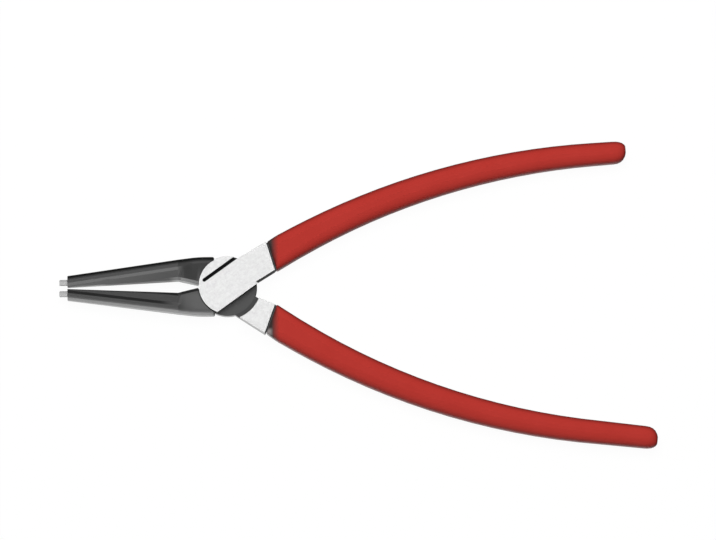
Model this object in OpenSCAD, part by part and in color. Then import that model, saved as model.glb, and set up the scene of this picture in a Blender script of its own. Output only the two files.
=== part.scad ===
// Circlip pliers for external rings, straight tips.
// Two forged levers turn on a flush rivet, and squeezing the handles spreads the tips.
// The pivot is the Z axis, jaws point to -X, handles to +X, and the joint's back face is at z = 0.

/* [Joint] */
// Thickness of the joint over both halves
head_t = 9; // [8:0.1:11]
// Radius of the joint's rim
head_r = 8.85; // [8.75:0.05:9.4]
// Radius of the boss where it meets the jaws
boss_r = 8.55; // [8.2:0.05:8.7]
// Gap between the boss and the other lever's jaw
shoulder_gap = 0.25; // [0.15:0.05:0.4]
// Gap between the two halves at the lap
lap_gap = 0.06; // [0.04:0.01:0.1]
// Radius of the shoulder where the rear shank begins
heel_r = 10.3; // [9.8:0.1:10.8]
// Distance short of the pivot at which a jaw's shoulder ends
horn_x = 3.9; // [3:0.1:4.6]
// Rounding of that end
horn_round = 0.5; // [0.3:0.05:0.7]
// Angle through which the handles are squeezed
swing = 20; // [10:1:20]

/* [Boss relief] */
// Angle of the bright strip across the joint
strip_angle = 35.2; // [32:0.1:38]
// Width of the strip
strip_w = 9.6; // [8.8:0.1:10]
// Width of the groove beside the strip
groove_w = 1.1; // [0.8:0.1:1.5]
// Depth of the groove
groove_depth = 1.6; // [0.8:0.1:2]
// Land left between the groove's closed end and the boss's rim
groove_land = 1.1; // [0.6:0.1:1.5]

/* [Rivet and spring] */
// Diameter of the rivet's shank
rivet_d = 5; // [4.4:0.1:5.2]
// Running gap between the rivet and the rear lever
rivet_gap = 0.03; // [0.02:0.01:0.06]
// Diameter of the rivet's countersunk ends
rivet_head_d = 6.6; // [6:0.1:8]
// Depth of each countersink
rivet_head_h = 1; // [0.6:0.1:1.4]
// Wire diameter of the return spring
spring_wire = 0.7; // [0.5:0.05:0.8]
// Mean diameter of the spring's coil
spring_d = 6.5; // [6.4:0.1:7]
// Rise of the coil in one turn
spring_pitch = 0.8; // [0.8:0.05:0.9]
// Room round the spring in its pocket
spring_room = 0.2; // [0.1:0.05:0.3]
// Length of each leg beyond the pocket
spring_leg = 1.4; // [1:0.1:1.6]

/* [Jaws] */
// Reach from the pivot to the jaws' end faces
jaw_len = 48.2; // [40:0.1:56]
// Distance from the pivot to where the jaws start to taper
jaw_knee = 14.8; // [13:0.1:16]
// Thickness of the jaws beside the joint
jaw_root_t = 7.6; // [6.5:0.1:7.9]
// Thickness of the jaws at their ends
jaw_tip_t = 4.2; // [3.6:0.1:5.2]
// Width of each jaw at its end
jaw_tip_w = 3.4; // [3:0.1:4.2]
// Half of the gap between the closed jaws at their ends
jaw_tip_gap = 0.3; // [0.2:0.05:0.6]
// Half of the gap between the closed jaws at the taper's start
jaw_knee_gap = 1.95; // [1:0.05:2.2]
// Half of the gap between the closed jaws at the joint
jaw_root_gap = 0.5; // [0.2:0.05:0.8]
// Distance from the pivot to the turn of the outer edge
flank_x = 9.2; // [8:0.1:11]
// Half length of the blend at that turn
flank_blend = 2.5; // [1:0.1:5]
// Width of the raised back along each jaw's outer edge
back_w = 2.2; // [2:0.1:2.7]
// Width of the back beside the joint
back_root_w = 1.7; // [1.2:0.1:2.5]
// Width of the rounding on the back's outer side
back_round = 1.25; // [0.9:0.05:1.6]
// Height of that rounding on each face
back_h = 1.2; // [0.8:0.1:1.6]
// Fall of the forged land beside the joint, from its inner edge to its back
root_fall = 0.5; // [0.2:0.05:0.6]
// Depth of the ground relief inside the back
relief = 0.3; // [0.1:0.05:0.5]
// Width of the ramp down into the relief
relief_ramp = 0.9; // [0.5:0.05:1.1]
// Lean of the ground flats towards the parting line
flat_lean = 3; // [0:0.5:5]
// Bevel of the inner edges at the jaws' ends
tip_bevel = 0.1; // [0.05:0.05:0.2]
// Bevel of the inner edges beside the joint
root_bevel = 0.9; // [0.4:0.05:1.2]

/* [Tips] */
// Diameter of the tips
tip_d = 1.8; // [1.2:0.1:2]
// Length of the tips beyond the jaws
tip_len = 2.5; // [2:0.1:4]
// Step from each tip down to its pressed shank
tip_step = 0.2; // [0.2:0.05:0.3]
// Depth of the tips' bores
tip_depth = 8; // [5:0.5:12]
// Distance of each tip from the line between the jaws
tip_y = 1.7; // [1.6:0.05:1.9]
// Chamfer on the tips' ends
tip_chamfer = 0.2; // [0.1:0.05:0.3]

/* [Front handle] */
// Angle of the shank
front_angle = 30.3; // [29:0.1:34]
// Offset of the handle's axis from the pivot
front_offset = 0.9; // [0.6:0.05:1.5]
// Distance of the shank's outer edge from its line through the pivot
front_outer = 5.4; // [5:0.1:6.2]
// Distance of the shank's inner edge from its line through the pivot
front_inner = 3.4; // [2:0.1:3.8]
// Distance along the shank to the end of its bright land
front_land = 15.7; // [14.8:0.1:16.4]
// Length of the grip along its curve
front_len = 111.5; // [105:0.5:125]

/* [Rear handle] */
// Angle of the shank
rear_angle = 33.2; // [29:0.1:34]
// Offset of the handle's axis from the pivot
rear_offset = 1.25; // [0.6:0.05:1.5]
// Distance of the shank's outer edge from its line through the pivot
rear_outer = 6; // [5:0.1:6.2]
// Distance of the shank's inner edge from its line through the pivot
rear_inner = 2.1; // [2:0.1:3.8]
// Distance along the shank to the end of its bright land
rear_land = 16.3; // [14.8:0.1:16.4]
// Length of the grip along its curve
rear_len = 121.5; // [105:0.5:130]

/* [Both handles] */
// Slant of the lands' ends from square
shank_slant = 13; // [8:1:16]
// Distance from the pivot to where the handles start to curve
bend_x = 14.6; // [14.4:0.1:16]
// Radius of the handles' curve
bend_r = 217; // [200:1:240]
// Angle through which the handles curve
bend_angle = 26.6; // [24:0.1:27]
// Width of the grips at their mouths
grip_w = 9.3; // [8.8:0.1:10]
// Width of the grips at their ends
grip_end_w = 6.6; // [6:0.1:7.5]
// Thickness of the grips at their mouths
grip_t = 8.8; // [8.4:0.1:9]
// Thickness of the grips at their ends
grip_end_t = 8; // [7.6:0.1:8.8]
// Radius of the grips' long edges at their mouths
grip_edge_r = 2.6; // [2:0.1:2.9]
// Radius of the grips' long edges along the handles
grip_mid_r = 3.4; // [2.6:0.1:3.6]
// Length of the rounding at the grips' ends
grip_cap = 4; // [3:0.1:5]
// Wall of the dipped coat on the handles' sides
coat = 1; // [0.7:0.05:1.3]
// Wall of the coat at the grips' mouths
mouth_coat = 0.45; // [0.4:0.05:0.6]
// Gap between the lands' ends and the thin edges of the coat
lip_gap = 0.6; // [0.4:0.05:0.9]
// Length over which the coat thins, at the handles' inner edges
lip_len = 0.35; // [0.2:0.05:0.6]
// Thickness of the steel inside the grips
tang_t = 6; // [5.4:0.1:6.4]

/* [Hidden] */
$fn = 64;
eps = 0.01;
far = 60;
mid_z = head_t / 2;
half_t = mid_z - lap_gap / 2;

// Jaw outline: the outer edge rises to the flank, where it turns parallel to the jaws' parting line.
tip_outer = jaw_tip_gap + jaw_tip_w;
outer_slope = (head_r - tip_outer) / (jaw_len - flank_x);
jaw_steps = 6;
root_steps = 12;
back_steps = 5;
relief_end = 1;
fall_end = 4;
bevel_power = 4;
bevel_rise = 0.42;
least_step = 0.1;
horn_steps = 3;

// The other lever's shoulder sweeps this far round the rim when the handles are squeezed.
rim_margin = 4;
rim_x = head_r * sin(swing + rim_margin - asin(horn_x / head_r));

// Return spring: the legs stand half a turn apart after two whole turns.
spring_turns = 2.5;
spring_r = spring_d / 2;
spring_rise = spring_pitch * spring_turns;
spring_bend = 0.5;
spring_sides = 8;
turn_steps = 20;
bend_steps = 4;
leg_gap = 0.05;
pocket_r = spring_r + spring_wire / 2 + spring_room;
pocket_h = (spring_rise + 2 * spring_bend) / 2 - lap_gap / 2;
leg_top = pocket_h + spring_leg;
tip_shank_d = tip_d - 2 * tip_step;

// Handles: a straight shank, one arc and a straight tail. Each lists angle, offset, edges and lengths.
FRONT = [front_angle, front_offset, front_outer, front_inner, front_land, front_len];
REAR = [rear_angle, rear_offset, rear_outer, rear_inner, rear_land, rear_len];
bend_len = bend_r * bend_angle * PI / 180;
tang_root = 1.4;
tang_end = 3;
tang_steps = 24;
coat_blend = 14;
edge_blend = 30;
edge_share = 0.85;
// Largest edge radius that keeps the tang's corners covered.
covered_r = 1 + 2.4 * coat;
lip_coat = 0.15;
lip_edge_r = 0.3;
lip_stations = [[1, 1], [0.85, 0.72], [0.6, 0.4], [0.3, 0.13], [0, 0]];
grip_steps = 18;
cap_shares = [0.3, 0.55, 0.75, 0.9, 0.97];
cap_power = 2.4;
cap_shift = 0.3;
skew_len = 12;
corner_steps = 5;

function mix(a, b, share) = a + (b - a) * share;
function direction(angle) = [cos(angle), sin(angle)];
function normal(angle) = [-sin(angle), cos(angle)];

// Closed surface through rings of equal point counts, each ring wound the same way.
function ring_faces(rings, count) = [
    for (i = [0 : rings - 2], j = [0 : count - 1])
        let (low = i * count, high = low + count, next = (j + 1) % count)
        [low + j, low + next, high + next, high + j],
    [for (j = [count - 1 : -1 : 0]) j],
    [for (j = [0 : count - 1]) (rings - 1) * count + j]
];

module loft(rings) {
    count = len(rings[0]);
    points = [for (ring = rings, point = ring) point];
    polyhedron(points, ring_faces(len(rings), count), convexity = 6);
}

// Turns a lever drawn as the upper, front one into the lower, rear one.
module as_rear() {
    translate([0, 0, head_t]) rotate([180, 0, 0]) children();
}

// Everything on the shank's side of a line through the plan at this angle and offset.
module half_plane(angle, offset) {
    rotate(angle) translate([-far, offset]) square([2 * far, 2 * far]);
}

// Jaw: half widths, thickness and bevel at a distance x along the parting line.
function taper(x) = min(1, (x + jaw_len) / (jaw_len - jaw_knee));

function outer_y(x) =
    let (run = flank_blend - flank_x - x)
    run <= 0 ? head_r
    : run >= 2 * flank_blend ? head_r + outer_slope * (x + flank_x)
    : head_r - outer_slope * run * run / (4 * flank_blend);

function inner_y(x) =
    x <= -jaw_knee ? mix(jaw_tip_gap, jaw_knee_gap, taper(x))
    : mix(jaw_knee_gap, jaw_root_gap, min(1, (x + jaw_knee) / (jaw_knee - boss_r)));

function jaw_ring(x, pinch) =
    let (
        top = mix(jaw_tip_t, jaw_root_t, taper(x)) / 2,
        past_knee = max(0, x + jaw_knee),
        past_relief = min(1, past_knee / relief_end),
        root = past_knee / (jaw_knee - horn_x),
        sunk = top - relief * (1 - past_relief),
        crest_top = top - root_fall * min(1, past_knee / fall_end) - pinch / 2,
        inner = inner_y(x),
        outer = outer_y(x) - pinch,
        bevel = mix(tip_bevel, root_bevel, pow(taper(x), bevel_power)),
        flat_start = inner + bevel,
        crest = max(outer - mix(back_w, back_root_w, root), flat_start + 3 * least_step),
        flat_end = max(crest - relief_ramp, flat_start + least_step),
        round_w = min(back_round, outer - crest - least_step),
        fall_share = (crest - flat_end) / (crest - flat_start),
        foot = mix(sunk, mix(crest_top, sunk, fall_share), past_relief),
        flat_low = sunk - tan(flat_lean) * (flat_end - flat_start) * (1 - past_relief),
        upper = concat(
            [[inner, flat_low - bevel * bevel_rise], [flat_start, flat_low]],
            [[flat_end, foot], [crest, crest_top]],
            [for (k = [0 : back_steps])
                let (turn = 90 * k / back_steps)
                [outer - round_w * (1 - sin(turn)), crest_top - back_h * (1 - cos(turn))]]
        ),
        lower = [for (i = [len(upper) - 1 : -1 : 0]) [upper[i][0], -upper[i][1]]]
    )
    [for (p = concat(upper, lower)) [x, p[0], mid_z + p[1]]];

module jaw() {
    reach = [for (i = [0 : jaw_steps]) mix(-jaw_len, -jaw_knee, i / jaw_steps)];
    root = [for (i = [1 : root_steps]) mix(-jaw_knee, -horn_x - horn_round, i / root_steps)];
    loft(concat(
        [for (x = concat(reach, root)) jaw_ring(x, 0)],
        [for (i = [1 : horn_steps])
            let (turn = 90 * i / horn_steps)
            jaw_ring(-horn_x - horn_round * (1 - sin(turn)), horn_round * (1 - cos(turn)))]
    ));
}

// Plan of a lever's half of the joint. The front half is cut back to the strip.
module head_plan(cut_back) {
    intersection() {
        union() {
            circle(boss_r);
            intersection() {
                circle(head_r);
                union() {
                    translate([-horn_x, 0]) square(far);
                    translate([rim_x, -far]) square([far, 2 * far]);
                }
            }
        }
        if (cut_back) half_plane(strip_angle, -strip_w / 2);
    }
}

// Room under a lever's half for the other lever's half and its swing, out to the heel.
module lap_room(heel) {
    translate([0, 0, -eps]) linear_extrude(mid_z + lap_gap / 2 + eps) {
        circle(boss_r + shoulder_gap);
        intersection() {
            circle(heel);
            translate([-horn_x, -far]) square([2 * far, 2 * far]);
        }
    }
}

// Groove beside the strip: closed towards the jaws, open at the rim.
module groove() {
    offset = (strip_w + groove_w) / 2;
    closed = -sqrt(pow(boss_r - groove_land, 2) - pow(offset, 2));
    translate([0, 0, head_t - groove_depth]) rotate(strip_angle) linear_extrude(groove_depth + eps) {
        translate([closed + groove_w / 2, offset]) circle(groove_w / 2);
        translate([closed + groove_w / 2, offset - groove_w / 2]) square([far, groove_w]);
    }
}

// Rivet profile from the back face to the front face, grown by a running gap.
module rivet_shape(gap) {
    shank = rivet_d / 2 + gap;
    head = rivet_head_d / 2 + gap;
    rotate_extrude() polygon([
        [0, 0], [head, 0], [shank, rivet_head_h],
        [shank, head_t - rivet_head_h], [head, head_t], [0, head_t]
    ]);
}

// Pocket round the rivet for half of the spring, and the hole for its leg.
module spring_room_cut(leg_angle) {
    translate([0, 0, mid_z]) {
        cylinder(r = pocket_r, h = pocket_h);
        rotate(leg_angle) translate([spring_r, 0, 0])
            cylinder(d = spring_wire + 2 * leg_gap, h = leg_top + leg_gap);
    }
}

// A handle's own values, and its plan in terms of distances along and across its shank.
function shank_angle(handle) = handle[0];
function axis_offset(handle) = handle[1];
function outer_edge(handle) = handle[2];
function inner_edge(handle) = -handle[3];
function land_len(handle) = handle[4];
function grip_len(handle) = handle[5];
function shank_point(handle, along, across) =
    along * direction(shank_angle(handle)) + across * normal(shank_angle(handle));

function land_end(handle, across) =
    land_len(handle) + (across - (outer_edge(handle) + inner_edge(handle)) / 2) * tan(shank_slant);

// Shank with its bright land. Its inner edge runs out to the tang's edge beyond the heel.
module shank(handle) {
    inner = inner_edge(handle);
    outer = outer_edge(handle);
    tang_inner = axis_offset(handle) - grip_w / 2 + mouth_coat;
    linear_extrude(head_t) polygon([
        shank_point(handle, 0, inner), shank_point(handle, heel_r, inner),
        shank_point(handle, land_end(handle, tang_inner), tang_inner),
        shank_point(handle, land_end(handle, outer), outer), shank_point(handle, 0, outer)
    ]);
}

// Centre line of a handle, measured from the start of its curve.
function bend_along(handle) =
    let (angle = shank_angle(handle))
    (bend_x + axis_offset(handle) * sin(angle)) / cos(angle);
function path_angle(handle, s) = shank_angle(handle) - min(max(s, 0), bend_len) / bend_r * 180 / PI;
function path_point(handle, s) =
    let (start = shank_angle(handle), angle = path_angle(handle, s))
    shank_point(handle, bend_along(handle), axis_offset(handle))
    + bend_r * [sin(start) - sin(angle), cos(angle) - cos(start)]
    + (s < 0 ? s : max(0, s - bend_len)) * direction(angle);

function grip_width(handle, s) = mix(grip_w, grip_end_w, s / grip_len(handle));
function grip_thickness(handle, s) = mix(grip_t, grip_end_t, s / grip_len(handle));

function coat_at(s) = mix(mouth_coat, coat, min(1, max(0, s / coat_blend)));

// Steel inside a grip: its plan keeps one coat inside the grip's sides.
module tang(handle) {
    start = land_len(handle) - tang_root - bend_along(handle);
    places = [for (i = [0 : tang_steps]) mix(start, grip_len(handle) - tang_end, i / tang_steps)];
    half_w = function (s) grip_width(handle, s) / 2 - coat_at(s);
    edge = function (s, side) path_point(handle, s) + side * half_w(s) * normal(path_angle(handle, s));
    translate([0, 0, mid_z - tang_t / 2]) linear_extrude(tang_t) polygon(concat(
        [for (i = [0 : tang_steps]) edge(places[i], -1)],
        [for (i = [tang_steps : -1 : 0]) edge(places[i], 1)]
    ));
}

module lever(handle, heel, leg_angle, cut_back) {
    difference() {
        union() {
            difference() {
                union() {
                    jaw();
                    shank(handle);
                }
                lap_room(heel);
            }
            translate([0, 0, head_t - half_t]) linear_extrude(half_t) head_plan(cut_back);
            tang(handle);
        }
        spring_room_cut(leg_angle);
        translate([-jaw_len - eps, tip_y, mid_z]) rotate([0, 90, 0])
            cylinder(d = tip_shank_d, h = tip_depth + eps);
    }
}

module front_lever() {
    color("gainsboro") difference() {
        lever(FRONT, head_r + shoulder_gap, 0, true);
        groove();
        rivet_shape(0);
    }
}

module rear_lever() {
    color("silver") difference() {
        as_rear() lever(REAR, heel_r, 180, false);
        rivet_shape(rivet_gap);
    }
}

module joint_rivet() {
    color("lightgray") rivet_shape(0);
}

// Spring wire on its cylinder: each place holds turn angle, height and climb angle.
function spring_places() =
    let (
        low = mid_z - spring_rise / 2,
        high = mid_z + spring_rise / 2,
        ease = function (climb) spring_bend / spring_r * (1 - sin(climb)) * 180 / PI,
        rise = function (climb) spring_bend * (1 - cos(climb)),
        climbs = [for (i = [0 : bend_steps]) 90 * i / bend_steps],
        helix = 360 * spring_turns,
        steps = ceil(turn_steps * spring_turns),
        side = ease(0)
    )
    concat(
        [[0, mid_z - leg_top, 90]],
        [for (i = [bend_steps : -1 : 1]) [ease(climbs[i]), low - rise(climbs[i]), climbs[i]]],
        [for (i = [0 : steps]) [mix(side, helix - side, i / steps), mix(low, high, i / steps), 0]],
        [for (i = [1 : bend_steps]) [helix - ease(climbs[i]), high + rise(climbs[i]), climbs[i]]],
        [[helix, mid_z + leg_top, 90]]
    );

function spring_ring(place) =
    let (
        out = [cos(place[0]), sin(place[0]), 0],
        round = [-sin(place[0]), cos(place[0]), 0],
        across = sin(place[2]) * round - cos(place[2]) * [0, 0, 1],
        centre = spring_r * out + [0, 0, place[1]]
    )
    [for (k = [0 : spring_sides - 1])
        let (turn = 360 * k / spring_sides)
        centre + spring_wire / 2 * (cos(turn) * out + sin(turn) * across)];

module return_spring() {
    color("dimgray") rotate(180) loft([for (place = spring_places()) spring_ring(place)]);
}

// Tip: a thin shank pressed into the jaw, and a thicker end that enters a ring's hole.
module tip() {
    shank_r = tip_shank_d / 2;
    end_r = tip_d / 2;
    end = tip_depth + tip_len;
    translate([-jaw_len + tip_depth, tip_y, mid_z]) rotate([0, -90, 0]) rotate_extrude() polygon([
        [0, 0], [shank_r, 0], [shank_r, tip_depth], [end_r, tip_depth],
        [end_r, end - tip_chamfer], [end_r - tip_chamfer, end], [0, end]
    ]);
}

module upper_tip() {
    color("lightsteelblue") tip();
}

module lower_tip() {
    color("lightsteelblue") as_rear() tip();
}

// The coat's thin edge follows the land's end, and it reaches full size in a plane square to the jaws.
function lip_start(handle) = land_end(handle, axis_offset(handle)) + lip_gap - bend_along(handle);
function lip_end(handle) =
    lip_start(handle) + lip_len + (tan(shank_angle(handle)) - tan(shank_slant)) * grip_w / 2;

// Grip section: a rounded rectangle across the centre line, leaning along it near the mouth.
function grip_ring(handle, s, lean, thin, scale) =
    let (
        angle = path_angle(handle, s),
        full_w = grip_width(handle, s) / 2,
        full_h = grip_thickness(handle, s) / 2,
        half_w = (full_w - thin * (mouth_coat - lip_coat)) * scale,
        half_h = (full_h - thin * ((grip_t - tang_t) / 2 - lip_coat)) * mix(1, scale, 0.8),
        edge_r = mix(grip_edge_r, min(grip_mid_r, covered_r), min(1, max(0, s / edge_blend))),
        r = min(mix(edge_r, lip_edge_r, thin), half_w * edge_share, half_h * edge_share),
        centre = path_point(handle, s) + cap_shift * full_w * (1 - scale) * normal(angle)
    )
    [for (quarter = [0 : 3], k = [0 : corner_steps])
        let (
            turn = 90 * (quarter + k / corner_steps),
            across = (half_w - r) * (quarter == 0 || quarter == 3 ? 1 : -1) + r * cos(turn),
            up = (half_h - r) * (quarter < 2 ? 1 : -1) + r * sin(turn),
            point = centre + across * normal(angle) + lean * across * direction(angle)
        )
        [point[0], point[1], mid_z + up]];

function cap_scale(share) = pow(1 - pow(share, cap_power), 1 / cap_power);

module grip(handle) {
    lip = lip_end(handle);
    body_end = grip_len(handle) - grip_cap;
    lean = tan(shank_angle(handle));
    rings = concat(
        [for (station = lip_stations)
            let (s = mix(lip, lip_start(handle), station[0]))
            grip_ring(handle, s, mix(lean, tan(shank_slant), station[0]), station[1], 1)],
        [for (i = [1 : grip_steps])
            let (s = mix(lip, body_end, i / grip_steps))
            grip_ring(handle, s, lean * max(0, 1 - (s - lip) / skew_len), 0, 1)],
        [for (share = cap_shares)
            grip_ring(handle, body_end + share * grip_cap, 0, 0, cap_scale(share))]
    );
    color("crimson") difference() {
        loft(rings);
        tang(handle);
    }
}

module upper_grip() {
    grip(FRONT);
}

module lower_grip() {
    as_rear() grip(REAR);
}

front_lever();
rear_lever();
joint_rivet();
return_spring();
upper_tip();
lower_tip();
upper_grip();
lower_grip();
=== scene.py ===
import math

import bmesh
import bpy
from mathutils import Matrix, Vector


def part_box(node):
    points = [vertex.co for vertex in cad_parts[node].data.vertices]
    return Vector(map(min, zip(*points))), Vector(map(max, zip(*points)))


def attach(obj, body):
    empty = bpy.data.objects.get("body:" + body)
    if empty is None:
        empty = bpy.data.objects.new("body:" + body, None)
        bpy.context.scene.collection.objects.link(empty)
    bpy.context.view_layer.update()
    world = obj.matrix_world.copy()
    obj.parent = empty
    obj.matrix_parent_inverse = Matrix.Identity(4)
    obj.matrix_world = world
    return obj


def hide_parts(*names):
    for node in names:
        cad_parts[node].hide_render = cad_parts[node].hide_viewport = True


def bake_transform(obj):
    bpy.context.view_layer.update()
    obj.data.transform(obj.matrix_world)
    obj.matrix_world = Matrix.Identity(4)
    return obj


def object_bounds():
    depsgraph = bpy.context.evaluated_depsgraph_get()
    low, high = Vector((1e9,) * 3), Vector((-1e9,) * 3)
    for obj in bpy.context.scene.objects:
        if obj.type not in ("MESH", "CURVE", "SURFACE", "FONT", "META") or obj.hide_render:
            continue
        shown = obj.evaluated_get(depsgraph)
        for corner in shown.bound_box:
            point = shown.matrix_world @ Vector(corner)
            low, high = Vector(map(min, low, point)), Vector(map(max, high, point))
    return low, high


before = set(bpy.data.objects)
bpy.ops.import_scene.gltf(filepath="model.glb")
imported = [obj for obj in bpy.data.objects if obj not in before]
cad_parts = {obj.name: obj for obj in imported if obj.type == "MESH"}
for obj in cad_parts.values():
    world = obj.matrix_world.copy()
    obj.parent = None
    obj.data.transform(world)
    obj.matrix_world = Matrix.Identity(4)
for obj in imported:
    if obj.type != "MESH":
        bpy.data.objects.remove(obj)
CAD_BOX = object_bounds()
MM = 0.001

# Sizes taken from the frame
JOINT_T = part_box("joint_rivet")[1].z
RIVET_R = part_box("joint_rivet")[1].x
FLOOR_Z = CAD_BOX[0].z

# Camera
VIEW_ELEVATION = math.radians(84.5)
VIEW_ROLL = math.radians(0.66)
VIEW_WIDTH = 216.06 * MM
VIEW_TARGET = Vector((39.43, 4.61, 4.5)) * MM
LENS = 300
SENSOR = 36
CLIP_END = 20

# Light levels
FLOOR_WHITE = 0.7
FLOOR_GLOW = 1.38
FLOOR_GREY = 0.12
FLOOR_SIZE = 4.0
FLOOR_DROP = 0.05 * MM
KEY_POWER = 9.2
KEY_SIZE = 0.6
KEY_PLACE = Vector((0.0, 0.3, 1.0))
# Levels of the studio from one horizon (0) over the zenith (0.5) to the other (1).
# Soft light is stronger from the back. Metal mirrors a bright front and a dark back and right.
SOFT_AXIS = (0, 1, 0)
SOFT_STOPS = [(0.0, 0.0), (0.25, 0.08), (0.5, 0.5), (1.0, 0.12)]
MIRROR_AXIS = (0.6, 0.8, 0)
MIRROR_STOPS = [
    (0.0, 3.8), (0.1, 4.8), (0.15, 4.1), (0.2, 2.8), (0.27, 1.95), (0.36, 1.5), (0.44, 1.2), (0.47, 1.06),
    (0.5, 0.95), (0.54, 0.92), (0.6, 0.58), (0.68, 0.2), (0.75, 0.06), (0.85, 0.03), (1.0, 0.1),
]
TABLE_STOPS = [(0.0, 3.0), (0.35, 1.8), (0.46, 0.64), (0.5, 0.45), (0.56, 0.2), (0.65, 0.02)]

# Where the levers' finish changes: ground faces, the joint's boss and lap face, the shanks. The lap
# face's paler grey is painted light, and the shanks' walls turned right get painted shade
GROUND_METAL = 0.5
GROUND_DEPTH = 0.14 * MM
GROUND_FADE = 0.06 * MM
GROUND_GREYS = (0.7, 0.885)
BLACK_GREYS = (0.005, 0.012)
BOSS_R = 8.7 * MM
LAP_BAND = 0.6 * MM
LAP_GREY = 0.03
JAW_END_X = -3.7 * MM

# Where the jaws get painted shade, a deeper dull black: the step at their knee, the upper jaw's inner rim
# and its back
FINE_FADE = 0.4 * MM
BROAD_FADE = 2.0 * MM
KNEE_X = -14.3 * MM
KNEE_BAND = 1.0 * MM
KNEE_SHADE = 0.5
RIM_X = (-38 * MM, -15.5 * MM)
RIM_Y = 2.7 * MM
RIM_SHADE = 0.5
BACK_SHADE = 0.6

# Where the lower jaw is painted paler as painted light: the end of its relief's flank, and its root
FLANK_X = -20.2 * MM
FLANK_LENGTH = 4 * MM
FLANK_Y = -3.0 * MM
ROOT_Y = -1.0 * MM
ROOT_SHARE = 0.5
PAINTED_LIGHT_GREY = 0.065

# Where the grips' finish changes: the thin coat at their mouths, and a painted highlight at the lower
# one's outer corner
MOUTH_X = 15.5 * MM
MOUTH_FADE = 2.2 * MM
HIGHLIGHT_X = 13.7 * MM
HIGHLIGHT_Y = -12.7 * MM
HIGHLIGHT_FADE = 1.0 * MM

# Edges
LEVER_EDGE = 0.16 * MM
GRIP_EDGE = 0.2 * MM
EDGE_ANGLE = math.radians(32)
RIDGE_ANGLE = math.radians(8)
RIDGE_FACE = 0.3 * MM
RIVET_CLEAR = 0.2 * MM
MERGE_GAP = 0.002 * MM
FLAT_ANGLE = math.radians(0.4)
LEVEL_FACE = 0.99999

# The lips at the grips' mouths
LIP_END_X = 18 * MM
LIP_ACROSS = 4 * MM
LIP_FACING = 0.1
LIP_SLACK = 0.01 * MM
LIP_STEP = 0.06 * MM
LIP_CUTS = 8


# Shader nodes
class Value:
    """A node's output that can be used in sums."""

    def __init__(self, nodes, socket):
        self.nodes = nodes
        self.socket = socket

    def math(self, operation, first, second, clamp=False):
        settings = {"operation": operation, "use_clamp": clamp}
        return self.nodes.add("ShaderNodeMath", settings, {0: first, 1: second})

    def __add__(self, other):
        return self.math("ADD", self, other)

    def __radd__(self, other):
        return self.math("ADD", other, self)

    def __sub__(self, other):
        return self.math("SUBTRACT", self, other)

    def __rsub__(self, other):
        return self.math("SUBTRACT", other, self)

    def __mul__(self, other):
        return self.math("MULTIPLY", self, other)

    def __rmul__(self, other):
        return self.math("MULTIPLY", other, self)

    def __truediv__(self, other):
        return self.math("DIVIDE", self, other)

    def clamped(self):
        return self.math("ADD", self, 0.0, clamp=True)

    def past(self, start, fade):
        """0 up to the start, then rising to 1 over the fade."""
        return ((self - start) / fade).clamped()

    def short_of(self, end, fade):
        """0 from the end on, and 1 from the fade before it."""
        return ((end - self) / fade).clamped()

    def away_from(self, place):
        return self.nodes.add("ShaderNodeMath", {"operation": "ABSOLUTE"}, {0: self - place})


class Nodes:
    """One node tree. add() makes any node, and returns one of its outputs."""

    def __init__(self, tree):
        self.tree = tree

    def add(self, kind, settings=None, sockets=None, output=0):
        node = self.tree.nodes.new(kind)
        for name, value in (settings or {}).items():
            if name == "stops":
                self.set_stops(node.color_ramp.elements, value)
            else:
                setattr(node, name, value)
        for name, value in (sockets or {}).items():
            self.put(value, node.inputs[name])
        return Value(self, node.outputs[output])

    def put(self, value, socket):
        if isinstance(value, Value):
            self.tree.links.new(value.socket, socket)
        else:
            socket.default_value = value

    def set_stops(self, elements, stops):
        while len(elements) < len(stops):
            elements.new(0.5)
        for element, (place, level) in zip(elements, stops):
            element.position = place
            element.color = (level, level, level, 1)

    def mix(self, share, first, second):
        return self.add("ShaderNodeMix", {"data_type": "RGBA"}, {0: share, 6: first, 7: second}, 2)

    def mix_greys(self, share, levels):
        return self.mix(share, grey(levels[0]), grey(levels[1]))

    def noise(self, place, scale, detail=2.0, roughness=0.5):
        sockets = {"Vector": place, "Scale": scale, "Detail": detail, "Roughness": roughness}
        return self.add("ShaderNodeTexNoise", None, sockets)

    def graded(self, heading, axis, stops):
        lean = self.add("ShaderNodeVectorMath", {"operation": "DOT_PRODUCT"}, {0: heading, 1: axis}, 1)
        return self.add("ShaderNodeValToRGB", {"stops": stops}, {0: 0.5 + 0.5 * lean})

    def bump(self, height, strength, distance):
        sockets = {"Height": height, "Strength": strength, "Distance": distance}
        return self.add("ShaderNodeBump", None, sockets)


def new_finish(name):
    """A material with its node tree, its shader and the place of a point on the object."""
    material = bpy.data.materials.new(name)
    material.use_nodes = True
    nodes = Nodes(material.node_tree)
    shader = material.node_tree.nodes["Principled BSDF"]
    place = nodes.add("ShaderNodeTexCoord", None, None, "Object")
    return material, nodes, shader, place


def grey(level):
    return (level, level, level, 1)


# Finishes
def ground_marks(nodes, place):
    """The grinding wheel's grain and faint lines, from 0 to 1, the lines running along the strip."""
    turned = nodes.add(
        "ShaderNodeMapping",
        {"vector_type": "TEXTURE"},
        {"Vector": place, "Rotation": (0, 0, math.radians(35)), "Scale": (6.0, 0.35, 1.0)},
    )
    lines = nodes.noise(turned, 900, 3.0, 0.6)
    grain = nodes.noise(place, 1500, 4.0, 0.7)
    return ((0.3 * lines + 0.7 * grain - 0.34) * 3.2).clamped()


def ground_roughness(marks):
    return 0.17 + 0.1 * marks


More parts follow.
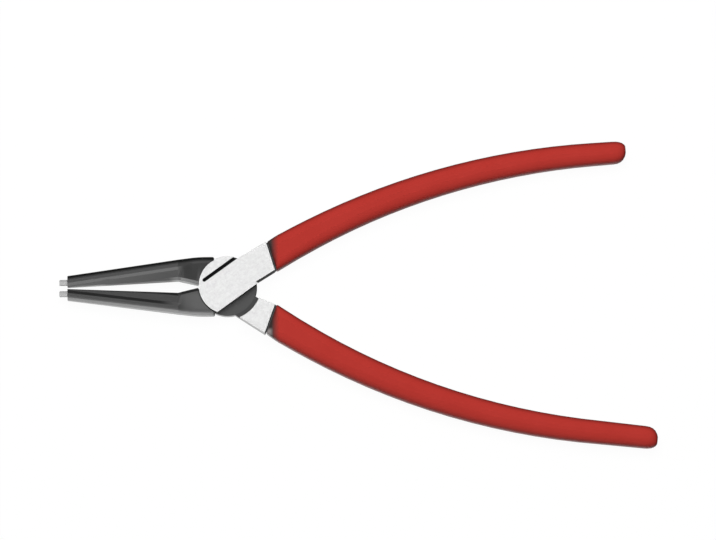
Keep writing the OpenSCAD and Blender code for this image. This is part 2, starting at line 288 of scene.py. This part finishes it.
def lever_finish():
    """Black phosphate with ground bright faces, painted paler on the lap face and the lower jaw as
    painted light.

    The groove is a deeper, dull black. The shanks' inner walls, the boss's walls and the edges turned
    from the light get painted shade in the same dull black.
    """
    material, nodes, shader, place = new_finish("lever_finish")
    along = nodes.add("ShaderNodeSeparateXYZ", None, {0: place}, "X")
    across = nodes.add("ShaderNodeSeparateXYZ", None, {0: place}, "Y")
    height = nodes.add("ShaderNodeSeparateXYZ", None, {0: place}, "Z")
    plan = nodes.add("ShaderNodeVectorMath", {"operation": "MULTIPLY"}, {0: place, 1: (1, 1, 0)})
    reach = nodes.add("ShaderNodeVectorMath", {"operation": "LENGTH"}, {0: plan}, 1)
    from_lap = height.away_from(JOINT_T / 2)
    from_knee = along.away_from(KNEE_X)
    facing = nodes.add("ShaderNodeTexCoord", None, None, "Normal")
    rightward = nodes.add("ShaderNodeSeparateXYZ", None, {0: facing}, "X")
    upward = nodes.add("ShaderNodeSeparateXYZ", None, {0: facing}, "Y")

    ground = from_lap.past(JOINT_T / 2 - GROUND_DEPTH, GROUND_FADE)
    off_lap = from_lap.past(LAP_BAND, GROUND_FADE)
    in_boss = reach.short_of(BOSS_R, GROUND_FADE)
    at_shank = along.past(JAW_END_X, GROUND_FADE)
    at_knee = from_knee.short_of(KNEE_BAND, GROUND_FADE)
    on_upper_jaw = across.past(0, FINE_FADE)
    turned_right = rightward.past(0.38, 0.1)
    turned_left = rightward.short_of(-0.15, 0.2)
    turned_up = upward.past(0.15, 0.125)
    turned_down = upward.short_of(-0.2, 1 / 6)

    rim_length = along.past(RIM_X[0], BROAD_FADE) * along.short_of(RIM_X[1], BROAD_FADE)
    rim_width = across.short_of(RIM_Y, FINE_FADE) * on_upper_jaw
    rim = RIM_SHADE * rim_length * rim_width * turned_down
    back = BACK_SHADE * on_upper_jaw * (1 - at_shank) * upward.past(1 / 30, 1 / 3)
    knee = KNEE_SHADE * at_knee * turned_left
    # deep: the blackened groove, and painted shade on the boss's walls, the shanks' walls turned right,
    # the knee's step, the upper jaw's inner rim and its back
    deep = (in_boss * off_lap + at_shank * turned_right + knee + rim + back).clamped() * (1 - ground)

    # Painted light: the lap face, the lower jaw's flank where it is turned up, and its root are painted a
    # paler grey
    lap_painted_light = in_boss * (1 - off_lap)
    flank = along.past(FLANK_X, FLANK_LENGTH) * across.short_of(FLANK_Y, FINE_FADE) * turned_up
    root = along.past(KNEE_X, BROAD_FADE) * across.short_of(ROOT_Y, BROAD_FADE) * (1 - turned_up)
    jaw_painted_light = (flank + ROOT_SHARE * root).clamped() * (1 - at_shank) * (1 - in_boss)

    marks = ground_marks(nodes, place)
    crystals = nodes.noise(place, 2800, 4.0, 0.7)
    patches = nodes.noise(place, 320, 3.0, 0.55)
    bright = nodes.mix_greys(marks, GROUND_GREYS)
    black = nodes.mix_greys((0.6 * crystals + 0.4 * patches).clamped(), BLACK_GREYS)
    # The black, with the paler grey of the painted light on the lap face and the lower jaw
    dark = nodes.mix(jaw_painted_light, nodes.mix(lap_painted_light, black, grey(LAP_GREY)), grey(PAINTED_LIGHT_GREY))
    nodes.put(nodes.mix(ground, dark, bright), shader.inputs["Base Color"])
    nodes.put(GROUND_METAL * ground, shader.inputs["Metallic"])
    dull = 0.26 + 0.1 * patches + 0.05 * crystals
    nodes.put(dull + ground * (ground_roughness(marks) - dull), shader.inputs["Roughness"])
    relief = crystals * (1 - ground) + 0.25 * marks * ground
    texture = nodes.bump(relief, 0.25, 0.02 * MM)
    nodes.put(texture, shader.inputs["Normal"])
    shader.inputs["IOR"].default_value = 1.75

    # The dull black shader, with almost no reflection, paints the shade wherever deep is set
    sockets = {"Base Color": dark, "Roughness": dull + 0.3, "Normal": texture, "Specular IOR Level": 0.08}
    matt = nodes.add("ShaderNodeBsdfPrincipled", None, sockets)
    satin = Value(nodes, shader.outputs["BSDF"])
    surface = nodes.add("ShaderNodeMixShader", None, {0: deep, 1: satin, 2: matt})
    nodes.put(surface, material.node_tree.nodes["Material Output"].inputs["Surface"])
    return material


def ground_steel():
    """Bright steel, ground with the faces round it."""
    material, nodes, shader, place = new_finish("ground_steel")
    marks = ground_marks(nodes, place)
    nodes.put(nodes.mix_greys(marks, GROUND_GREYS), shader.inputs["Base Color"])
    nodes.put(ground_roughness(marks), shader.inputs["Roughness"])
    nodes.put(nodes.bump(marks, 0.06, 0.02 * MM), shader.inputs["Normal"])
    shader.inputs["Metallic"].default_value = GROUND_METAL
    return material


def drawn_steel(name, levels, metallic):
    """Round wire with faint drawing lines along it."""
    material, nodes, shader, place = new_finish(name)
    along = nodes.add(
        "ShaderNodeMapping", {"vector_type": "TEXTURE"}, {"Vector": place, "Scale": (8.0, 1.0, 1.0)}
    )
    lines = nodes.noise(along, 5000, 2.0, 0.6)
    nodes.put(nodes.mix_greys(lines, levels), shader.inputs["Base Color"])
    nodes.put(0.42 + 0.15 * lines, shader.inputs["Roughness"])
    nodes.put(nodes.bump(lines, 0.1, 0.01 * MM), shader.inputs["Normal"])
    shader.inputs["Metallic"].default_value = metallic
    return material


def dipped_vinyl():
    """Soft red vinyl from a dip: satin, with a faint orange peel, and painted shade where it is seen at a
    slant.

    It is dark where it thins at its mouth, since the steel shows through, and has a painted
    highlight, a pale grey, at the lower mouth's outer corner.
    """
    material, nodes, shader, place = new_finish("dipped_vinyl")
    along = nodes.add("ShaderNodeSeparateXYZ", None, {0: place}, "X")
    across = nodes.add("ShaderNodeSeparateXYZ", None, {0: place}, "Y")
    thin = along.short_of(MOUTH_X, MOUTH_FADE)
    # Painted highlight: a pale grey at the lower mouth's outer corner
    painted_highlight = across.short_of(HIGHLIGHT_Y, HIGHLIGHT_FADE) * along.short_of(HIGHLIGHT_X, HIGHLIGHT_FADE)
    clouds = nodes.noise(place, 110, 3.0, 0.5)
    peel = nodes.noise(place, 900, 2.0, 0.5)
    speckle = nodes.noise(place, 6000, 2.0, 0.6)
    tone = (0.5 * clouds + 0.2 * peel + 0.3 * speckle).clamped()
    deep = (0.4, 0.028, 0.021, 1)
    light = (0.49, 0.043, 0.034, 1)
    shade = (0.16, 0.016, 0.013, 1)
    covered = (0.05, 0.036, 0.034, 1)
    # The pale grey of the painted highlight
    highlight_grey = (0.3, 0.27, 0.265, 1)
    steel = nodes.mix(painted_highlight, covered, highlight_grey)
    # Painted shade: the red darkens towards the shade colour where the grip is seen at a slant
    slant = nodes.add("ShaderNodeLayerWeight", None, {"Blend": 0.5}, "Facing")
    red = nodes.mix((1.3 * slant - 0.3).clamped(), nodes.mix(tone, deep, light), shade)
    nodes.put(nodes.mix(thin, red, steel), shader.inputs["Base Color"])
    nodes.put(0.3 + 0.12 * peel, shader.inputs["Roughness"])
    nodes.put(nodes.bump(0.7 * peel + 0.3 * speckle, 0.12, 0.05 * MM), shader.inputs["Normal"])
    shader.inputs["Specular IOR Level"].default_value = 0.06
    return material


# Pieces
def face_width(face):
    return face.calc_area() / max(edge.calc_length() for edge in face.edges)


def is_sharp(edge, ridged):
    """Is this a corner, or on a ridged piece a low ridge between two broad faces?"""
    if len(edge.link_faces) != 2:
        return False
    angle = edge.calc_face_angle()
    broad = min(face_width(face) for face in edge.link_faces) > RIDGE_FACE
    return angle > EDGE_ANGLE or (ridged and angle > RIDGE_ANGLE and broad)


def is_outside(edge):
    """Is this edge away from the rivet's countersinks, which stay closed?"""
    return max(corner.co.xy.length for corner in edge.verts) > RIVET_R + RIVET_CLEAR


def merged_shape(node):
    """A CAD node's surface with its doubled corners merged and its level facets joined."""
    shape = bmesh.new()
    shape.from_mesh(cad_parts[node].data)
    bmesh.ops.remove_doubles(shape, verts=shape.verts, dist=MERGE_GAP)
    bmesh.ops.dissolve_limit(
        shape, angle_limit=FLAT_ANGLE, verts=shape.verts, edges=shape.edges, use_dissolve_boundaries=False
    )
    return shape


def stand_in(node, ending, shape, finish):
    """A new piece of this shape that stands for a CAD node."""
    mesh = bpy.data.meshes.new(node + ending)
    shape.to_mesh(mesh)
    shape.free()
    mesh.materials.clear()
    mesh.materials.append(finish)
    piece = bpy.data.objects.new(node + ending, mesh)
    bpy.context.scene.collection.objects.link(piece)
    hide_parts(node)
    return piece


def runs_across_lip(edge):
    """Is this a long edge across the front or back of a grip's mouth?"""
    near = max(corner.co.x for corner in edge.verts) < LIP_END_X
    side = edge.verts[0].co.z - JOINT_T / 2
    outside = all(face.normal.z * side > -LIP_SLACK for face in edge.link_faces)
    facing = any(abs(face.normal.z) > LIP_FACING for face in edge.link_faces)
    return near and outside and facing and edge.calc_length() > LIP_ACROSS


def even_lip(shape):
    """Opens the twisted facets of a grip's lip into strips and cuts these finer across."""
    across = [edge for edge in shape.edges if runs_across_lip(edge)]
    slants = [edge for edge in across if abs(edge.verts[0].co.z - edge.verts[1].co.z) > LIP_STEP]
    bmesh.ops.dissolve_edges(shape, edges=slants, use_verts=False)
    rails = [edge for edge in shape.edges if runs_across_lip(edge)]
    bmesh.ops.subdivide_edges(shape, edges=rails, cuts=LIP_CUTS, use_grid_fill=True)


def dressed(node, body, finish, edge_width, ridged):
    """A copy of a CAD node with softened edges: a lever, which is ridged, or a grip, which has a lip."""
    shape = merged_shape(node)
    if not ridged:
        even_lip(shape)
    weight = shape.edges.layers.float.new("bevel_weight_edge")
    for edge in shape.edges:
        sharp = is_sharp(edge, ridged)
        edge[weight] = 1.0 if sharp and is_outside(edge) else 0.0
        edge.smooth = not sharp
    for face in shape.faces:
        face.smooth = abs(face.normal.z) < LEVEL_FACE
    piece = stand_in(node, "_dressed", shape, finish)
    soften = piece.modifiers.new("soft_edges", "BEVEL")
    soften.width = edge_width
    soften.segments = 2
    soften.limit_method = "WEIGHT"
    soften.harden_normals = True
    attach(piece, body)


def wound_spring(finish):
    """A smooth-shaded copy of the return spring, which stands for the CAD node."""
    shape = merged_shape("return_spring")
    for face in shape.faces:
        face.smooth = True
    spring = stand_in("return_spring", "_wound", shape, finish)
    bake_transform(spring)


def finish_node(node, finish):
    """Gives a CAD node that stays its finish."""
    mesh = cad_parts[node].data
    mesh.materials.clear()
    mesh.materials.append(finish)


def make_pieces():
    steel = lever_finish()
    vinyl = dipped_vinyl()
    wire = drawn_steel("drawn_steel", levels=(0.38, 0.54), metallic=0.12)
    dressed("front_lever", "front", steel, LEVER_EDGE, ridged=True)
    dressed("rear_lever", "rear", steel, LEVER_EDGE, ridged=True)
    dressed("upper_grip", "front", vinyl, GRIP_EDGE, ridged=False)
    dressed("lower_grip", "rear", vinyl, GRIP_EDGE, ridged=False)
    finish_node("joint_rivet", ground_steel())
    finish_node("upper_tip", wire)
    finish_node("lower_tip", wire)
    wound_spring(drawn_steel("oiled_wire", levels=(0.1, 0.2), metallic=1.0))


# Camera, light and floor
def add_camera():
    sideways = Vector((1, 0, 0))
    back = Vector((0, -math.cos(VIEW_ELEVATION), math.sin(VIEW_ELEVATION)))
    upright = Vector((0, math.sin(VIEW_ELEVATION), math.cos(VIEW_ELEVATION)))
    right = sideways * math.cos(VIEW_ROLL) - upright * math.sin(VIEW_ROLL)
    up = sideways * math.sin(VIEW_ROLL) + upright * math.cos(VIEW_ROLL)
    lens = bpy.data.cameras.new("camera")
    lens.lens = LENS
    lens.sensor_width = SENSOR
    lens.clip_end = CLIP_END
    camera = bpy.data.objects.new("camera", lens)
    bpy.context.scene.collection.objects.link(camera)
    distance = VIEW_WIDTH * LENS / SENSOR
    turn = Matrix((right, up, back)).transposed().to_4x4()
    camera.matrix_world = Matrix.Translation(VIEW_TARGET + back * distance) @ turn
    bpy.context.scene.camera = camera


def add_sky():
    """A studio that is white to the camera, and graded for soft light and for reflections."""
    world = bpy.data.worlds.new("studio")
    world.use_nodes = True
    bpy.context.scene.world = world
    nodes = Nodes(world.node_tree)
    heading = nodes.add("ShaderNodeTexCoord", None, None, "Generated")
    soft = nodes.graded(heading, SOFT_AXIS, SOFT_STOPS)
    mirrored = nodes.graded(heading, MIRROR_AXIS, MIRROR_STOPS)
    glossy = nodes.add("ShaderNodeLightPath", None, None, "Is Glossy Ray")
    camera = nodes.add("ShaderNodeLightPath", None, None, "Is Camera Ray")
    sky = nodes.mix(camera, nodes.mix(glossy, soft, mirrored), grey(1.0))
    nodes.put(sky, world.node_tree.nodes["Background"].inputs["Color"])


def add_key():
    """A soft lamp high at the back, kept out of the reflections."""
    lamp = bpy.data.lights.new("key", "AREA")
    lamp.energy = KEY_POWER
    lamp.shape = "DISK"
    lamp.size = KEY_SIZE
    key = bpy.data.objects.new("key", lamp)
    bpy.context.scene.collection.objects.link(key)
    aim = (VIEW_TARGET - KEY_PLACE).to_track_quat("-Z", "Y").to_matrix().to_4x4()
    key.matrix_world = Matrix.Translation(KEY_PLACE) @ aim
    key.visible_glossy = False


def add_floor():
    """A white floor that glows for the camera and for reflections, and still takes a faint shadow."""
    shape = bmesh.new()
    bmesh.ops.create_grid(shape, x_segments=1, y_segments=1, size=FLOOR_SIZE / 2)
    bmesh.ops.translate(shape, verts=shape.verts, vec=(0, 0, FLOOR_Z - FLOOR_DROP))
    mesh = bpy.data.meshes.new("floor")
    shape.to_mesh(mesh)
    shape.free()
    material = bpy.data.materials.new("floor_white")
    material.use_nodes = True
    tree = material.node_tree
    nodes = Nodes(tree)
    shader = tree.nodes["Principled BSDF"]
    shader.inputs["Base Color"].default_value = grey(FLOOR_GREY)
    shader.inputs["Roughness"].default_value = 0.9
    shader.inputs["Specular IOR Level"].default_value = 0.0
    camera = nodes.add("ShaderNodeLightPath", None, None, "Is Camera Ray")
    glossy = nodes.add("ShaderNodeLightPath", None, None, "Is Glossy Ray")
    through = nodes.add("ShaderNodeLightPath", None, None, "Is Transmission Ray")
    incoming = nodes.add("ShaderNodeNewGeometry", None, None, "Incoming")
    behind = tuple(-part for part in MIRROR_AXIS)
    mirrored = nodes.graded(incoming, behind, TABLE_STOPS)
    colour = nodes.mix(glossy, grey(1.0), mirrored)
    glow = nodes.add("ShaderNodeEmission", None, {"Color": colour, "Strength": FLOOR_GLOW})
    share = FLOOR_WHITE * (camera + glossy + through).clamped()
    lit = Value(nodes, shader.outputs["BSDF"])
    surface = nodes.add("ShaderNodeMixShader", None, {0: share, 1: lit, 2: glow})
    nodes.put(surface, tree.nodes["Material Output"].inputs["Surface"])
    mesh.materials.append(material)
    floor = bpy.data.objects.new("floor", mesh)
    bpy.context.scene.collection.objects.link(floor)


add_camera()
make_pieces()
add_sky()
add_key()
add_floor()
bpy.context.scene.view_settings.view_transform = "Standard"
